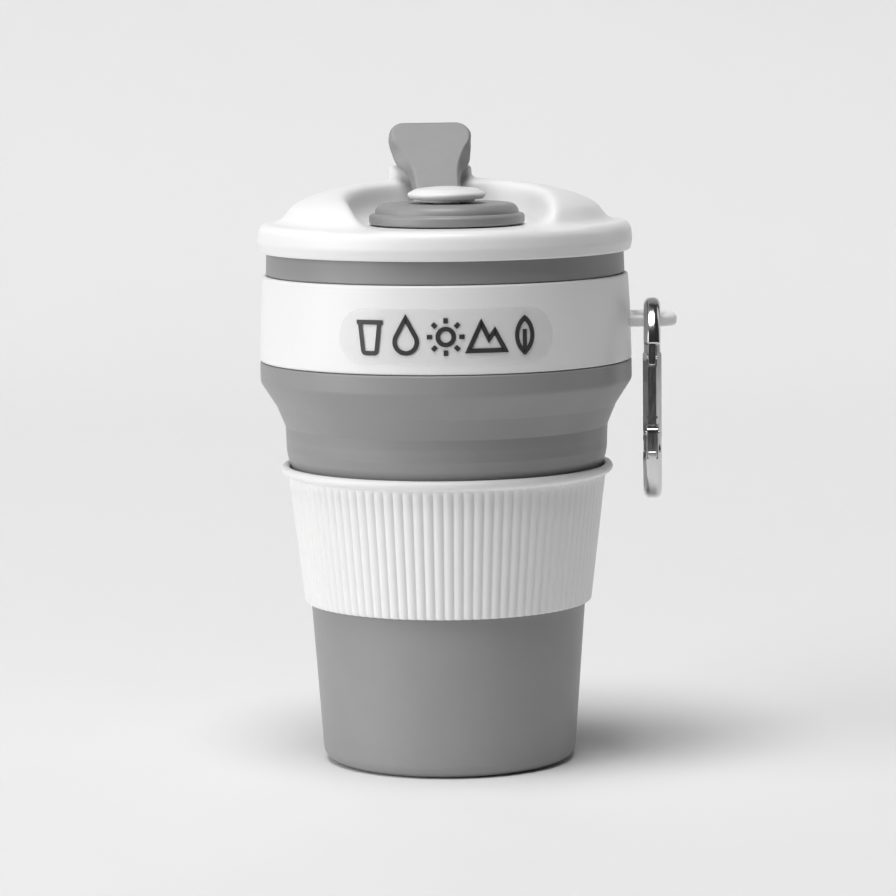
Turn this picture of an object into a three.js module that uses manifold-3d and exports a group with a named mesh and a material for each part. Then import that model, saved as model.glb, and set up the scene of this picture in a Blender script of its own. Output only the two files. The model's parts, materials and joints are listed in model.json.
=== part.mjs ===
// Collapsible travel cup with heat sleeve, carrying band, snap lid, sip stopper and carabiner.
// Millimetres, +Z up, origin at the centre of the underside, the lid's front towards -Y.
import * as THREE from 'three';
import { mergeVertices } from 'three/addons/utils/BufferGeometryUtils.js';
import Module from 'manifold-3d';

const wasm = await Module();
wasm.setup();

// Driving dimensions
const SIDES = 40; // facets round the cup
const SMALL_SIDES = 14; // facets round pins, springs and buttons
const GAP = 0.3; // between pieces that rest on each other

const BASE_TOP = 40.2; // top of the lowest tier
const BASE_TAPER = 0.0685; // radius gained per height on the lowest tier
const FOOT_RADIUS = 31.95; // outer radius of the lowest tier at its foot
const FOOT_ROUND = 3.2; // rounding of the cup's lower edge
const FLOOR = 3; // thickness of the cup's floor
const WALL = 2.4; // silicone wall of the rigid tiers
const FOLD_WALL = 1.2; // silicone wall of the folding zones
const MIDDLE_BOTTOM = 58.8;
const MIDDLE_TOP = 84.2;
const MIDDLE_RADIUS = 40.3; // outer radius of the middle tier where it shows
const RIM_BOTTOM = 95.7;
const RIM_TOP = 133;
const LEDGE_RADIUS = 46.45; // silicone ledge that the band stands on
const NECK_RADIUS = 44.75; // silicone that shows between the band and the lid
const BAND_BOTTOM = 101;
const BAND_TOP = 122.3;
const BAND_INNER = 44.5;
const BAND_OUTER = 46.42; // at its lower edge
const BAND_LEAN = 0.82; // how much less at its upper edge
const LABEL = { low: 102.2, high: 118.2, reach: THREE.MathUtils.degToRad(37), thick: 0.35 };
const CUP_INNER = 42.4; // inner radius of the top tier

const SLEEVE_BOTTOM = 40.2;
const SLEEVE_TOP = 74.9;
const SLEEVE_WALL = 1.3;
const SLEEVE_TAPER = 0.117;
const SLEEVE_FOOT_RADIUS = 36.05;
const SLEEVE_BEAD = 1.15; // radius of the rolled rim
const SLEEVE_BEAD_RADIUS = 40.5; // centre of the rolled rim

const FLANGE_TOP = 135.3;
const FLANGE_RADIUS = 46.8;
const SKIRT_BOTTOM = 128;
const DOME_RADIUS = 40.4;
const DOME_HEIGHT = 10.7;
const LID_WALL = 1.7;
const LID_INNER = 45.3; // inner radius of the skirt
const SEAL_RING = { inner: 39.6, outer: 41.4, low: 127 }; // inside the cup's rim
const LID_TURN = THREE.MathUtils.degToRad(8.4); // how far the lid is turned on the cup
const LID_SHIFT = -1.95; // the pocket, stopper and spout stand a little off the lid's middle
const POCKET_RADIUS = 24.1;
const POCKET_Y = -17.8; // centre of the pocket's round back; its sides run straight to the front
const SPOUT = { width: 20.6, front: 8.6, back: 20, top: 148.7 };
const SIP_HOLE = { width: 13, depth: 5.4, y: 14.2 };
const RIVET_HOLE = 3.6; // radius
const VENT = { radius: 0.8, y: 31 };

const DISC_Y = -17.2;
const DISC_RADIUS = 19.05;
const DISC_STEP = 138.1; // top of the disc's lower tier
const DISC_TOP = 140.6;
const DISC_BORE = 4;
const BUTTON = { low: 131.9, barb: 133.3, top: 144.65, stem: 3.2, cap: 9.7 };
const STRAP_WIDTH = 12.2;
const STRAP_LINE = [[-0.6, 141.9], [1.4, 142.6], [2.6, 144.6], [3.2, 147], [4.3, 149.6]]; // in (y, z)
const STRAP_THICK = 1.6;
const HINGE = { y: 7, z: 147.2 }; // living hinge of the stopper flap
const FLAP = { width: 20.9, front: 7.8, back: 18.9, bottom: 149, step: 150.8, top: 152.6 };
const FLAP_OPEN = THREE.MathUtils.degToRad(52); // the flap stands open at rest

const LUG = { out: 57.6, hole: [47.2, 54.9], half: 9.1, holeHalf: 5.9, z: [109, 111.9] };
const CLIP_TURN = THREE.MathUtils.degToRad(-3.08); // how far the clip is turned about the loop
const CLIP = { x: 51.2, y: -7.5, top: 103.7, bottom: 78.7, radius: 12.5, wire: 3.6, depth: 4.6 };
const GATE_Y = CLIP.y - CLIP.radius + CLIP.wire / 2;
const GATE = { pivotZ: 83.6, low: 81.8, top: 103.4, depth: 4.6, width: 3.4, chamfer: 1.2 };
const TONGUE = { depth: 3, top: 85.3, root: 77 }; // frame's hinge tongue inside the gate's fork
const HOOK = { depth: 1.8, low: 100.6, pinZ: 102.2 }; // frame's hook inside the gate's upper slot
const NOSE = 105.7; // where the frame's front leg ends
const SHOULDER = 78.4; // where the frame starts again under the gate
const PIVOT_PIN = 0.6; // radius
const LATCH_PIN = 0.4; // radius
const SPRING = { inner: 0.4, outer: 0.6, low: 88, high: 95.2 };
const PLUNGER_TOP = 87.7;
const BORE = { radius: 0.9, top: 95.8 }; // for the spring, from the fork upwards

// Any closed geometry as a solid that can be joined and cut
function toSolid(geometry) {
  const bare = geometry.index ? geometry.toNonIndexed() : geometry.clone();
  bare.deleteAttribute('normal');
  bare.deleteAttribute('uv');
  const merged = mergeVertices(bare, 1e-4);
  const place = merged.attributes.position;
  const found = [];
  let volume = 0;
  const corners = [new THREE.Vector3(), new THREE.Vector3(), new THREE.Vector3()];
  for (let n = 0; n < merged.index.count; n += 3) {
    const [a, b, c] = [0, 1, 2].map((k) => merged.index.getX(n + k));
    if (a === b || b === c || c === a) continue;
    found.push([a, b, c]);
    corners.forEach((corner, k) => corner.fromBufferAttribute(place, [a, b, c][k]));
    volume += corners[0].dot(corners[1].clone().cross(corners[2]));
  }
  const triVerts = new Uint32Array(found.flatMap(([a, b, c]) => (volume < 0 ? [a, c, b] : [a, b, c])));
  return new wasm.Manifold(new wasm.Mesh({ numProp: 3, vertProperties: place.array, triVerts }));
}

function toGeometry(solid) {
  const mesh = solid.getMesh();
  const geometry = new THREE.BufferGeometry();
  geometry.setAttribute('position', new THREE.BufferAttribute(mesh.vertProperties, 3));
  geometry.setIndex(new THREE.BufferAttribute(mesh.triVerts, 1));
  return geometry;
}

// An outline through corners [x, y, rounding], each rounded by an arc of `steps` chords
function rounded(corners, steps = 2) {
  const points = [];
  corners.forEach(([x, y, radius = 0], n) => {
    const here = new THREE.Vector2(x, y);
    if (!radius) {
      points.push(here);
      return;
    }
    const before = new THREE.Vector2(...corners.at(n - 1)).sub(here);
    const after = new THREE.Vector2(...corners[(n + 1) % corners.length]).sub(here);
    const half = Math.acos(before.dot(after) / before.length() / after.length()) / 2;
    const reach = radius / Math.tan(half);
    const middle = before.clone().normalize().add(after.clone().normalize()).normalize();
    const centre = here.clone().addScaledVector(middle, radius / Math.sin(half));
    const from = here.clone().addScaledVector(before.normalize(), reach).sub(centre).angle();
    const to = here.clone().addScaledVector(after.normalize(), reach).sub(centre).angle();
    const turn = THREE.MathUtils.euclideanModulo(to - from + Math.PI, 2 * Math.PI) - Math.PI;
    for (let k = 0; k <= steps; k += 1) {
      const angle = from + (turn * k) / steps;
      points.push(new THREE.Vector2(radius, 0).rotateAround(new THREE.Vector2(), angle).add(centre));
    }
  });
  return points;
}

// A turned piece about Z. The profile's x is the radius and its y is the height
function turned(points, sides = SIDES) {
  const onAxis = points.map((p) => new THREE.Vector2(Math.max(p.x, 0), p.y));
  const closed = onAxis[0].x < 1e-6 ? onAxis : [...onAxis, onAxis[0]];
  return toSolid(new THREE.LatheGeometry(closed, sides).rotateX(Math.PI / 2));
}

// A flat outline in XY, raised along Z from `low` to `high`, with any holes
function raised(points, low, high, holes = []) {
  const shape = new THREE.Shape(points);
  holes.forEach((hole) => shape.holes.push(new THREE.Path(hole)));
  const options = { depth: high - low, bevelEnabled: false };
  return toSolid(new THREE.ExtrudeGeometry(shape, options).translate(0, 0, low));
}

function box(low, high) {
  const size = high.map((value, n) => value - low[n]);
  const centre = high.map((value, n) => (value + low[n]) / 2);
  return toSolid(new THREE.BoxGeometry(...size).translate(...centre));
}

function moved(solid, matrix) {
  const geometry = toGeometry(solid).applyMatrix4(matrix);
  return toSolid(geometry);
}

// From the lid's own frame, where the stopper points along +Y, to its place on the cup
const onLid = new THREE.Matrix4()
  .makeRotationZ(LID_TURN)
  .multiply(new THREE.Matrix4().makeTranslation(LID_SHIFT, 0, 0));

// From the clip's upright plane x = CLIP.x to its place, turned a little about the loop
const onClip = new THREE.Matrix4()
  .makeTranslation(CLIP.x, CLIP.y, 0)
  .multiply(new THREE.Matrix4().makeRotationZ(CLIP_TURN))
  .multiply(new THREE.Matrix4().makeTranslation(-CLIP.x, -CLIP.y, 0));

// A cylinder across the clip at height z on its gate, as every hinge and latch pin of the clip
function pinAcross(radius, length, z, sides = SMALL_SIDES) {
  const cylinder = new THREE.CylinderGeometry(radius, radius, length, sides);
  return toSolid(cylinder.rotateZ(Math.PI / 2).translate(CLIP.x, GATE_Y, z));
}

// Cup body: three tiers and the two zones that fold between them
function baseSection() {
  const topRadius = FOOT_RADIUS + BASE_TAPER * (BASE_TOP - FOOT_ROUND);
  return turned(
    rounded([
      [0, 0],
      [FOOT_RADIUS - 0.4, 0, FOOT_ROUND],
      [topRadius, BASE_TOP],
      [topRadius - WALL, BASE_TOP],
      [FOOT_RADIUS - WALL, FLOOR, FOOT_ROUND],
      [0, FLOOR],
    ])
  );
}

function lowerFold() {
  const inner = FOOT_RADIUS + BASE_TAPER * (BASE_TOP - FOOT_ROUND) - FOLD_WALL;
  const outer = 35.2;
  return turned(
    rounded([
      [inner, BASE_TOP + GAP],
      [inner + FOLD_WALL, BASE_TOP + GAP],
      [outer + FOLD_WALL, MIDDLE_BOTTOM - GAP],
      [outer, MIDDLE_BOTTOM - GAP],
    ])
  );
}

function middleSection() {
  return turned(
    rounded([
      [34.9, MIDDLE_BOTTOM],
      [36.5, MIDDLE_BOTTOM],
      [38.2, 72.6, 3],
      [MIDDLE_RADIUS - 0.2, 77.6, 3],
      [MIDDLE_RADIUS + 0.1, MIDDLE_TOP],
      [38.3, MIDDLE_TOP],
      [38.1, 78.4, 2],
      [36.6, 72, 3],
    ])
  );
}

function upperFold() {
  const outside = [[40.5, MIDDLE_TOP + GAP], [42.5, 89.7], [46.1, RIM_BOTTOM - GAP]];
  const inside = outside.map(([r, z]) => [r - FOLD_WALL, z]).reverse();
  return turned(rounded([...outside, ...inside]));
}

function rimSection() {
  return turned(
    rounded([
      [44.9, RIM_BOTTOM],
      [46.2, RIM_BOTTOM, 0.3],
      [LEDGE_RADIUS, 97, 0.8],
      [LEDGE_RADIUS, BAND_BOTTOM - GAP, 0.4],
      [BAND_INNER - GAP, BAND_BOTTOM - GAP],
      [BAND_INNER - GAP, BAND_TOP + GAP],
      [NECK_RADIUS, BAND_TOP + GAP, 0.4],
      [NECK_RADIUS - 0.3, RIM_TOP, 0.9],
      [CUP_INNER, RIM_TOP, 0.6],
      [CUP_INNER, 102, 3],
      [44.3, 97.6, 2],
    ])
  );
}

function heatSleeve() {
  const bead = new THREE.Vector2(SLEEVE_BEAD_RADIUS, SLEEVE_TOP - SLEEVE_BEAD);
  const radiusAt = (z) => SLEEVE_FOOT_RADIUS + SLEEVE_TAPER * (z - SLEEVE_BOTTOM);
  const points = rounded([
    [SLEEVE_FOOT_RADIUS - SLEEVE_WALL, SLEEVE_BOTTOM],
    [SLEEVE_FOOT_RADIUS, SLEEVE_BOTTOM, 0.6],
    [radiusAt(72), 72],
  ]);
  const chords = 6;
  for (let k = 0; k <= chords; k += 1) {
    const angle = -0.9 + (k / chords) * (Math.PI + 1.1);
    points.push(new THREE.Vector2(SLEEVE_BEAD, 0).rotateAround(new THREE.Vector2(), angle).add(bead));
  }
  points.push(new THREE.Vector2(radiusAt(71.6) - SLEEVE_WALL, 71.6));
  return turned(points);
}

// Carrying band with a level loop for the clip
function carryBand() {
  const ring = turned(
    rounded([
      [BAND_INNER, BAND_BOTTOM],
      [BAND_OUTER, BAND_BOTTOM, 0.5],
      [BAND_OUTER - 0.17 * BAND_LEAN, 108],
      [BAND_OUTER - 0.52 * BAND_LEAN, 115.5],
      [BAND_OUTER - BAND_LEAN, BAND_TOP, 0.6],
      [BAND_INNER, BAND_TOP],
    ])
  );
  const [near, far] = LUG.hole;
  const outline = rounded([
    [45, -LUG.half],
    [LUG.out, -LUG.half, 5.5],
    [LUG.out, LUG.half, 5.5],
    [45, LUG.half],
  ], 4);
  const hole = rounded([
    [near, -LUG.holeHalf, 1.2],
    [near, LUG.holeHalf, 1.2],
    [far, LUG.holeHalf, 2.4],
    [far, -LUG.holeHalf, 2.4],
  ]);
  return ring.add(raised(outline, LUG.z[0], LUG.z[1], [hole]));
}

// Clear label: a thin patch that follows the band
function bandLabel() {
  const { low, high, reach, thick } = LABEL;
  const lean = (z) => (BAND_LEAN * (z - BAND_BOTTOM)) / (BAND_TOP - BAND_BOTTOM);
  const skin = [
    [BAND_OUTER - lean(low) + GAP, low],
    [BAND_OUTER - lean(low) + GAP + thick, low],
    [BAND_OUTER - lean(high) + GAP + thick + 0.1, high],
    [BAND_OUTER - lean(high) + GAP + 0.1, high],
  ];
  const wedge = [[0, 0]];
  const steps = 10;
  for (let k = 0; k <= steps; k += 1) {
    const angle = -Math.PI / 2 - reach + (2 * reach * k) / steps;
    wedge.push([60 * Math.cos(angle), 60 * Math.sin(angle)]);
  }
  return turned(rounded(skin), 48).intersect(raised(rounded(wedge), low - 2, high + 2));
}

// A dome's outline from its foot to the axis: an ellipse with slightly fuller shoulders
function domeProfile(radius, foot, height) {
  const points = [];
  const steps = 7;
  const fullness = 0.92;
  for (let k = 0; k <= steps; k += 1) {
    const angle = (k / steps) * (Math.PI / 2);
    const r = radius * Math.cos(angle) ** fullness;
    points.push(new THREE.Vector2(r, foot + height * Math.sin(angle) ** fullness));
  }
  points.at(-1).x = 0;
  return points;
}

function disc(radius, y, low, high, sides = 36) {
  const cylinder = new THREE.CylinderGeometry(radius, radius, high - low, sides);
  return toSolid(cylinder.rotateX(Math.PI / 2).translate(0, y, (low + high) / 2));
}

// Space above the lid's pocket: a round back and straight sides that run out to the front
function pocketSpace(radius, low) {
  const points = [[-radius, -48], [radius, -48]];
  const steps = 20;
  for (let k = 0; k <= steps; k += 1) {
    const angle = (Math.PI * k) / steps;
    points.push([radius * Math.cos(angle), POCKET_Y + radius * Math.sin(angle)]);
  }
  return moved(raised(rounded(points), low, 160), onLid);
}

// The sip hole's outline, or the plug's where it is inset
function sipOutline(inset) {
  const x = SIP_HOLE.width / 2 - inset;
  const y = SIP_HOLE.depth / 2 - inset;
  return rounded([
    [-x, SIP_HOLE.y - y, y - 0.1],
    [x, SIP_HOLE.y - y, y - 0.1],
    [x, SIP_HOLE.y + y, y - 0.1],
    [-x, SIP_HOLE.y + y, y - 0.1],
  ]);
}

function lidShell() {
  const foot = FLANGE_TOP - 0.1;
  const under = FLANGE_TOP - LID_WALL;
  const outer = [
    ...rounded([
      [0, SKIRT_BOTTOM],
      [FLANGE_RADIUS - 0.5, SKIRT_BOTTOM],
      [FLANGE_RADIUS - 0.2, SKIRT_BOTTOM + 1.6, 1.2],
      [FLANGE_RADIUS, SKIRT_BOTTOM + 2.4, 1.2],
      [46.1, FLANGE_TOP, 2.2],
      [DOME_RADIUS + 0.3, FLANGE_TOP],
    ]),
    ...domeProfile(DOME_RADIUS, foot, DOME_HEIGHT),
  ];
  const inner = [
    new THREE.Vector2(0, 118),
    new THREE.Vector2(LID_INNER + 0.1, 118),
    new THREE.Vector2(LID_INNER, under),
    new THREE.Vector2(DOME_RADIUS - LID_WALL, under),
    ...domeProfile(DOME_RADIUS - LID_WALL, foot - 0.6, DOME_HEIGHT - LID_WALL + 0.6).slice(1),
  ];
  const block = (inset, low, high) => {
    const outline = rounded([
      [-SPOUT.width / 2 + inset, SPOUT.front + inset, 3],
      [SPOUT.width / 2 - inset, SPOUT.front + inset, 3],
      [SPOUT.width / 2 - inset, SPOUT.back - inset, 5],
      [-SPOUT.width / 2 + inset, SPOUT.back - inset, 5],
    ]);
    return moved(raised(outline, low, high), onLid);
  };
  const pocket = pocketSpace(POCKET_RADIUS, FLANGE_TOP);
  const pocketWall = pocketSpace(POCKET_RADIUS + LID_WALL, under);
  const solid = turned(outer).subtract(pocket).add(block(0, 138, SPOUT.top));
  const hollow = turned(inner).subtract(pocketWall).add(block(LID_WALL, 136, SPOUT.top - LID_WALL));
  const ring = turned(
    rounded([
      [SEAL_RING.inner, SEAL_RING.low],
      [SEAL_RING.outer, SEAL_RING.low, 0.4],
      [SEAL_RING.outer, under + 0.2],
      [SEAL_RING.inner, under + 0.2],
    ])
  );
  const sipHole = raised(sipOutline(0), SPOUT.top - 8, SPOUT.top + 2);
  const rivetHole = disc(RIVET_HOLE, DISC_Y, FLANGE_TOP - 5, FLANGE_TOP + 5, 24);
  const vent = disc(VENT.radius, VENT.y, 134, 150, 10);
  const cuts = moved(sipHole.add(rivetHole).add(vent), onLid);
  return solid.subtract(hollow).add(ring).subtract(cuts);
}

// Sealing ring between the lid's inner ring and the cup's wall
function lidSeal() {
  const [inner, outer] = [SEAL_RING.outer + GAP, CUP_INNER - GAP];
  const [low, high] = [SEAL_RING.low + 1.2, SEAL_RING.low + 4.4];
  return turned(rounded([[inner, low], [outer, low], [outer, high], [inner, high]]));
}

// Stopper: two-tier disc held by the button, a strap with a living hinge, and the flap with its plug
function stopperBase() {
  const profile = rounded([
    [DISC_BORE, FLANGE_TOP + GAP],
    [DISC_RADIUS, FLANGE_TOP + GAP, 0.5],
    [DISC_RADIUS, DISC_STEP, 0.6],
    [DISC_RADIUS - 1.4, DISC_STEP + 0.2, 0.2],
    [DISC_RADIUS - 1.4, DISC_TOP, 2.1],
    [DISC_BORE, DISC_TOP],
  ]);
  return moved(turned(profile, 32).translate(0, DISC_Y, 0), onLid);
}

function stopperButton() {
  const { low, barb, top, stem, cap } = BUTTON;
  const profile = rounded([
    [0, low],
    [stem - 0.2, low],
    [stem + 1.4, barb - 0.2],
    [stem + 1.4, barb],
    [stem, barb],
    [stem, DISC_TOP + 0.5, 0.1],
    [cap, DISC_TOP + 0.6, 0.8],
    [cap, top - 1.45, 1.4],
    [cap / 2, top, 2],
    [0, top],
  ]);
  return moved(turned(profile, 24).translate(0, DISC_Y, 0), onLid);
}

// A plate of the strap's width along a centre line in the YZ plane
function strapAlong(line, thickness, width) {
  const side = (sign) =>
    line.map((p, n) => {
      const along = line[Math.min(n + 1, line.length - 1)].clone().sub(line[Math.max(n - 1, 0)]).normalize();
      return p.clone().add(new THREE.Vector2(-along.y, along.x).multiplyScalar((sign * thickness) / 2));
    });
  const outline = [...side(1), ...side(-1).reverse()];
  const geometry = toGeometry(raised(outline, -width / 2, width / 2));
  return toSolid(geometry.rotateX(Math.PI / 2).rotateZ(Math.PI / 2));
}

function stopperStrap() {
  const line = STRAP_LINE.map((p) => new THREE.Vector2(...p));
  return moved(strapAlong(line, STRAP_THICK, STRAP_WIDTH), onLid);
}

function stopperFlap() {
  const half = FLAP.width / 2;
  const waist = STRAP_WIDTH / 2;
  const mirrored = (side) => [...side, ...side.map(([x, y, r]) => [-x, y, r]).reverse()];
  const plate = [
    [waist, FLAP.front],
    [waist + 0.4, FLAP.front + 0.8, 1],
    [half, FLAP.front + 3.4, 1.6],
    [half, FLAP.back, 4.2],
  ];
  const face = [
    [waist - 0.7, FLAP.front],
    [waist - 0.5, FLAP.front + 3.6, 6],
    [half - 0.6, FLAP.back - 1.6, 1.6],
    [half - 3.2, FLAP.back, 1.6],
  ];
  const pad = raised(rounded(mirrored(plate)), FLAP.bottom, FLAP.step).add(
    raised(rounded(mirrored(face)), FLAP.step - 0.2, FLAP.top)
  );
  const plug = raised(sipOutline(0.4), SPOUT.top - 2.2, FLAP.bottom + 0.5);
  const open = new THREE.Matrix4()
    .makeTranslation(0, HINGE.y, HINGE.z)
    .multiply(new THREE.Matrix4().makeRotationX(FLAP_OPEN))
    .multiply(new THREE.Matrix4().makeTranslation(0, -HINGE.y, -HINGE.z));
  return moved(moved(pad.add(plug), open), onLid);
}

// Clip: stadium frame in the YZ plane with a gap for the gate, hinged on a tongue at its lower end
function clipOutline(radius) {
  const points = [];
  const steps = 10;
  for (const [z, start] of [[CLIP.top, 0], [CLIP.bottom, Math.PI]]) {
    for (let k = 0; k <= steps; k += 1) {
      const angle = start + (Math.PI * k) / steps;
      points.push(new THREE.Vector2(CLIP.y + radius * Math.cos(angle), z + radius * Math.sin(angle)));
    }
  }
  return points;
}

// An outline drawn in (y, z), given a thickness along X about the clip's middle plane
function acrossClip(points, depth, holes = []) {
  const geometry = toGeometry(raised(points, -depth / 2, depth / 2, holes));
  return toSolid(geometry.rotateX(Math.PI / 2).rotateZ(Math.PI / 2).translate(CLIP.x, 0, 0));
}

function carabinerFrame() {
  const edge = 0.8;
  const inner = CLIP.radius - CLIP.wire;
  const wide = acrossClip(clipOutline(CLIP.radius), CLIP.depth - 2 * edge, [clipOutline(inner)]);
  const thin = acrossClip(clipOutline(CLIP.radius - edge), CLIP.depth, [clipOutline(inner + edge)]);
  const gap = box([CLIP.x - 4, CLIP.y - 14, SHOULDER], [CLIP.x + 4, CLIP.y - 4, NOSE]);
  const half = GATE.width / 2;
  const tongue = acrossClip(
    rounded([
      [GATE_Y - half, TONGUE.root],
      [GATE_Y + half, TONGUE.root],
      [GATE_Y + half, TONGUE.top, 1.6],
      [GATE_Y - half, TONGUE.top, 1.6],
    ]),
    TONGUE.depth
  );
  const notch = LATCH_PIN + GAP;
  const hook = acrossClip(
    [
      [GATE_Y - 1.2, NOSE + 1.2],
      [GATE_Y - 1.2, HOOK.low],
      [GATE_Y + 1.5, HOOK.low],
      [GATE_Y + 1.5, HOOK.pinZ - notch],
      [GATE_Y - notch, HOOK.pinZ - notch],
      [GATE_Y - notch, HOOK.pinZ + notch],
      [GATE_Y + 1.5, HOOK.pinZ + notch],
      [GATE_Y + 1.5, NOSE + 1.2],
    ].map((p) => new THREE.Vector2(...p)),
    HOOK.depth
  );
  const pinHole = pinAcross(PIVOT_PIN + GAP, 8, GATE.pivotZ);
  return moved(wide.add(thin).subtract(gap).add(tongue).add(hook).subtract(pinHole), onClip);
}

// Gate: a bar with chamfered outer edges, forked at both ends, with a bore for its spring
function carabinerGate() {
  const half = GATE.width / 2;
  const wide = GATE.depth / 2;
  const section = [
    [CLIP.x - wide, GATE_Y + half],
    [CLIP.x - wide, GATE_Y - half + GATE.chamfer],
    [CLIP.x - wide + GATE.chamfer, GATE_Y - half],
    [CLIP.x + wide - GATE.chamfer, GATE_Y - half],
    [CLIP.x + wide, GATE_Y - half + GATE.chamfer],
    [CLIP.x + wide, GATE_Y + half],
  ].map((p) => new THREE.Vector2(...p));
  const bar = raised(section, GATE.low, GATE.top);
  const fork = TONGUE.depth / 2 + GAP;
  const slot = HOOK.depth / 2 + GAP;
  const lowSlot = box([CLIP.x - fork, GATE_Y - 4, 70], [CLIP.x + fork, GATE_Y + 4, TONGUE.top + 0.6]);
  const highSlot = box([CLIP.x - slot, GATE_Y - 4, HOOK.low - 0.5], [CLIP.x + slot, GATE_Y + 4, 110]);
  const bore = disc(BORE.radius, GATE_Y, TONGUE.top, BORE.top, 12).translate(CLIP.x, 0, 0);
  const pivotHole = pinAcross(PIVOT_PIN + GAP, 8, GATE.pivotZ);
  const latchHole = pinAcross(LATCH_PIN + GAP, 8, HOOK.pinZ, 12);
  const gate = [lowSlot, highSlot, bore, pivotHole, latchHole].reduce((solid, cut) => solid.subtract(cut), bar);
  return moved(gate, onClip);
}

// The pins are trimmed to the gate's width
function clipPin(radius, z) {
  return moved(pinAcross(radius, GATE.depth, z, 12), onClip);
}

// A turned piece on the gate's axis
function inGate(profile) {
  return moved(turned(rounded(profile), 12).translate(CLIP.x, GATE_Y, 0), onClip);
}

function gateSpring() {
  const { inner, outer, low, high } = SPRING;
  return inGate([[inner, low], [outer, low], [outer, high], [inner, high]]);
}

function gatePlunger() {
  const low = TONGUE.top + GAP;
  return inGate([[0, low], [SPRING.outer, low, 0.3], [SPRING.outer, PLUNGER_TOP], [0, PLUNGER_TOP]]);
}

const GREY = { color: 0x8b8b8c, roughness: 0.75, metalness: 0 };
const WHITE = { color: 0xf0f0ee, roughness: 0.4, metalness: 0 };
const CLEAR = { color: 0xe8eaea, roughness: 0.2, metalness: 0 };
const STEEL = { color: 0xc2c2c4, roughness: 0.22, metalness: 1 };

const pieces = [
  ['base_section', baseSection(), GREY],
  ['lower_fold', lowerFold(), GREY],
  ['middle_section', middleSection(), GREY],
  ['upper_fold', upperFold(), GREY],
  ['rim_section', rimSection(), GREY],
  ['heat_sleeve', heatSleeve(), WHITE],
  ['carry_band', carryBand(), WHITE],
  ['band_label', bandLabel(), CLEAR],
  ['lid_shell', lidShell(), WHITE],
  ['lid_seal', lidSeal(), GREY],
  ['stopper_base', stopperBase(), GREY],
  ['stopper_button', stopperButton(), WHITE],
  ['stopper_strap', stopperStrap(), GREY],
  ['stopper_flap', stopperFlap(), GREY],
  ['carabiner_frame', carabinerFrame(), STEEL],
  ['carabiner_gate', carabinerGate(), STEEL],
  ['gate_pivot_pin', clipPin(PIVOT_PIN, GATE.pivotZ), STEEL],
  ['gate_latch_pin', clipPin(LATCH_PIN, HOOK.pinZ), STEEL],
  ['gate_spring', gateSpring(), STEEL],
  ['gate_plunger', gatePlunger(), STEEL],
];

const group = new THREE.Group();
for (const [name, solid, look] of pieces) {
  const mesh = new THREE.Mesh(toGeometry(solid), new THREE.MeshStandardMaterial(look));
  mesh.name = name;
  group.add(mesh);
}

export default group;
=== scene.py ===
"""Collapsible travel cup: the fine visible pieces, materials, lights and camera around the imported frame.

Outlines are drawn in millimetres and scaled to metres as each mesh is made.
"""

import json
import math

import bmesh
import bpy
import numpy as np
from mathutils import Matrix, Vector


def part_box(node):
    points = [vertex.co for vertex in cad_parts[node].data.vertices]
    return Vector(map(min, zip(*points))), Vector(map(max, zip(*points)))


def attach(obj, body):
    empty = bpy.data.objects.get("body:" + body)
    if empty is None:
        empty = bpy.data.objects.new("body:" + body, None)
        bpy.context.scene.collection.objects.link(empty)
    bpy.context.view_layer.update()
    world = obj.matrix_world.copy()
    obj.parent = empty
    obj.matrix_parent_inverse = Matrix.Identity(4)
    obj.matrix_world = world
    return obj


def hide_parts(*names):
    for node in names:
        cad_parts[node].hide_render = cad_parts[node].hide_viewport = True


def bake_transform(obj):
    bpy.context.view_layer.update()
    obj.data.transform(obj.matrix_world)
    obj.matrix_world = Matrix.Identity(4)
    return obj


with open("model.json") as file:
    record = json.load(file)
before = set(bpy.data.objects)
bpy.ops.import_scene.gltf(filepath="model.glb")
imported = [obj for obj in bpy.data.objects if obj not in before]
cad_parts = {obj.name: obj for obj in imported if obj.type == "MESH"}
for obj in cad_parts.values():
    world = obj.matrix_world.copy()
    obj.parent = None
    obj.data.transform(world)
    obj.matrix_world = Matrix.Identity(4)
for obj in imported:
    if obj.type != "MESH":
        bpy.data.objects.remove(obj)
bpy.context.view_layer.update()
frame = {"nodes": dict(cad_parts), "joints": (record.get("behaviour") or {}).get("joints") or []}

MM = 0.001
TAU = 2 * math.pi
LOW = {node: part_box(node)[0] / MM for node in frame["nodes"]}
HIGH = {node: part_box(node)[1] / MM for node in frame["nodes"]}
JOINTS = {joint["name"]: joint for joint in frame["joints"]}

ROUND_SEGMENTS = 224  # facets round the cup
SMALL_SEGMENTS = 48  # facets round pins and other small turned pieces
SHARP_ANGLE = math.radians(38)

# Levels and radii of the cup, from the frame where it has them
FOOT_RADIUS, FOOT_ROUND = 31.6, 3.4
FLOOR_TOP = 3.0
BASE_TOP = HIGH["base_section"].z
BASE_RADIUS = HIGH["base_section"].x
FOLD_LOW, FOLD_HIGH = LOW["lower_fold"].z, HIGH["lower_fold"].z
SPLIT = 81.5  # level on the middle tier where the two silicone pieces meet
SPLIT_RADIUS = 40.24
MIDDLE_INNER = 38.2  # inner radius of the middle tier
LEDGE_RADIUS = HIGH["rim_section"].x
NECK_RADIUS = 44.75  # silicone that shows between the band and the lid
GROOVE_RADIUS, GROOVE_GAP = 44.2, 0.15  # bottom of the band's groove, and the play above and below the band
CUP_INNER = 42.4  # inner radius of the top tier
BAND_INNER = 44.45
BAND_LOW, BAND_TOP = LOW["carry_band"].z, HIGH["carry_band"].z
RIM_TOP = HIGH["rim_section"].z
SLEEVE_LOW, SLEEVE_TOP = LOW["heat_sleeve"].z, HIGH["heat_sleeve"].z
SLEEVE_RADIUS = HIGH["heat_sleeve"].x
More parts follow.
